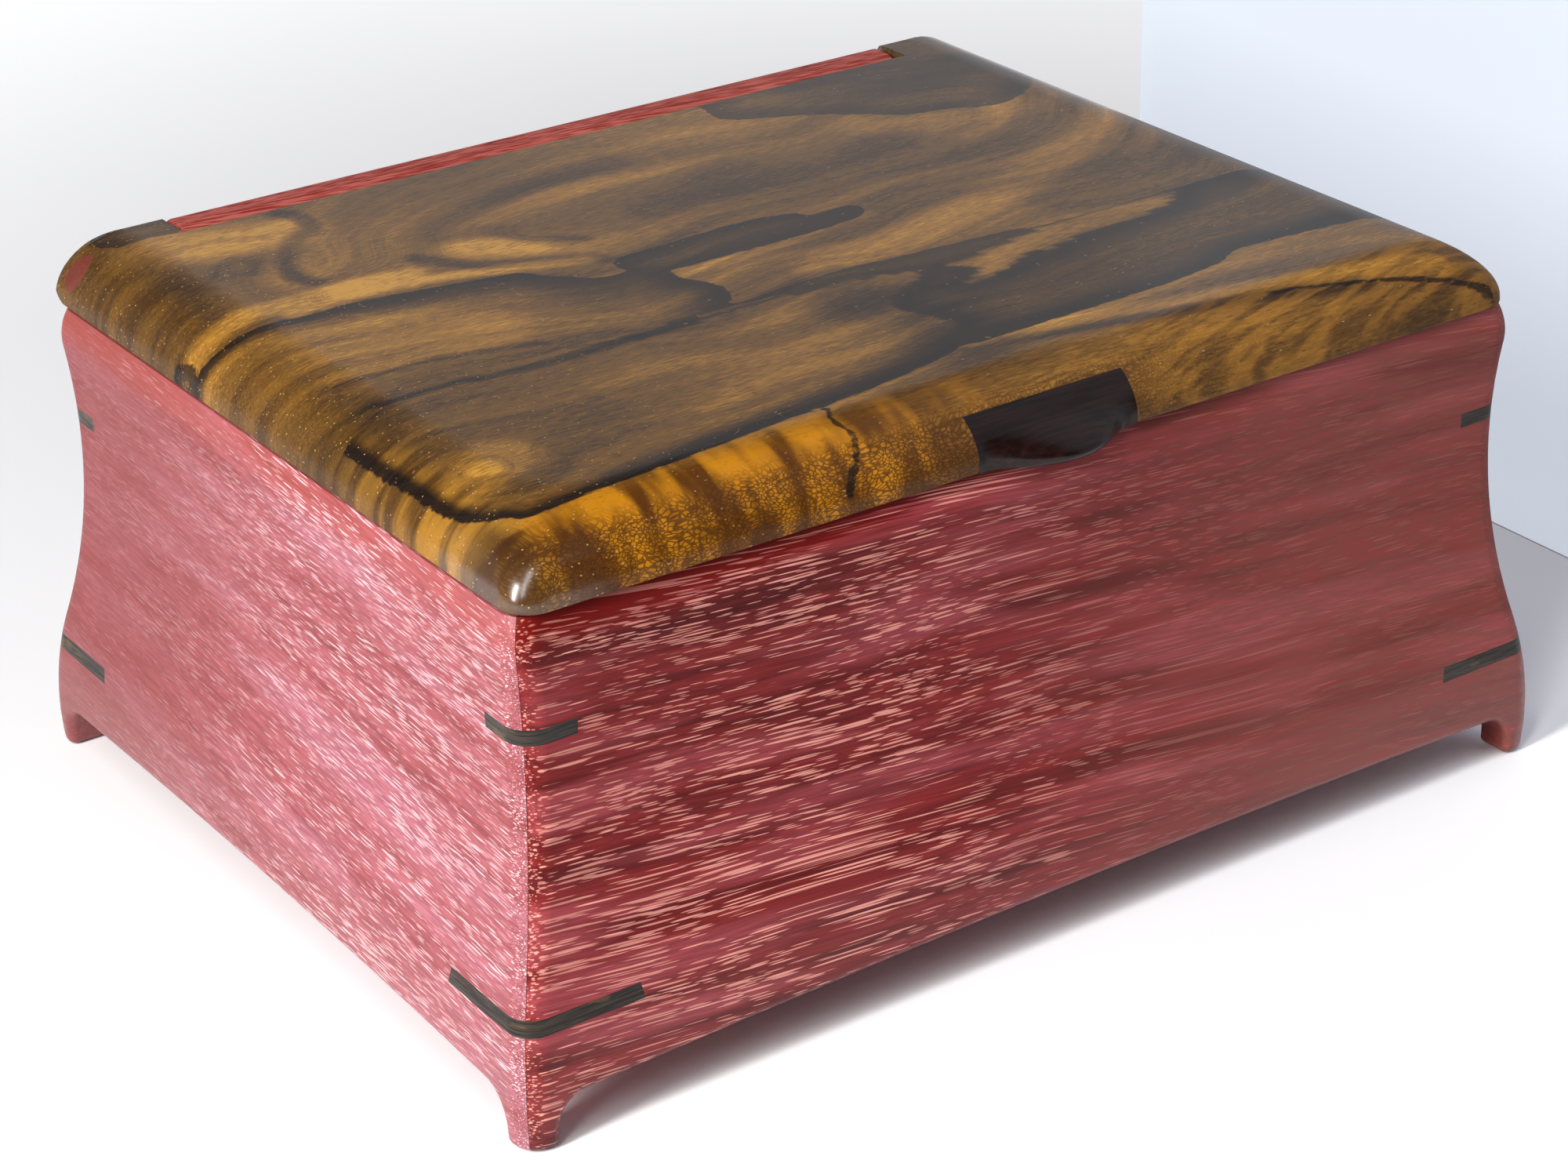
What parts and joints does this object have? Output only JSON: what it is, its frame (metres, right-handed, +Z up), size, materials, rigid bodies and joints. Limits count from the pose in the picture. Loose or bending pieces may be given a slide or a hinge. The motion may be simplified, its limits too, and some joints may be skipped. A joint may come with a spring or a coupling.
{
  "type": "hinged keepsake box",
  "caption": "Small wooden box with coved mitred sides, arched feet, dark corner keys and a pillow-edged lid with a thumb pull, turning on pins in a raised rail.",
  "frame": {"origin": "on the surface the feet stand on, under the middle of the box", "axes": "+X along the front from left to right, +Y from the front to the hinge side, +Z up"},
  "size_m": [0.2476, 0.1936, 0.1129],
  "materials": {
    "case_wood": "satin",
    "bottom_wood": "satin",
    "lining": "matt",
    "lid_wood": "gloss",
    "pull_wood": "satin",
    "key_wood": "satin",
    "plug_wood": "satin",
    "pin_brass": "satin"
  },
  "bodies": {
    "case": {"front_panel": "case_wood", "back_panel": "case_wood", "left_panel": "case_wood", "right_panel": "case_wood", "bottom_panel": "bottom_wood", "base_lining": "lining", "key_lower_front_left": "key_wood", "key_lower_front_right": "key_wood", "key_lower_back_left": "key_wood", "key_lower_back_right": "key_wood", "key_upper_front_left": "key_wood", "key_upper_front_right": "key_wood", "key_upper_back_left": "key_wood", "key_upper_back_right": "key_wood"},
    "lid": {"lid_panel": "lid_wood", "lid_pull": "pull_wood", "hinge_pin_left": "pin_brass", "hinge_pin_right": "pin_brass", "pin_plug_left": "plug_wood", "pin_plug_right": "plug_wood"}
  },
  "joints": [
    {"name": "lid_hinge", "type": "hinge", "parent": "case", "child": "lid", "pos_m": [0, 0.0841, 0.1072], "axis": [-1, 0, 0], "range_deg": [0, 95]}
  ]
}
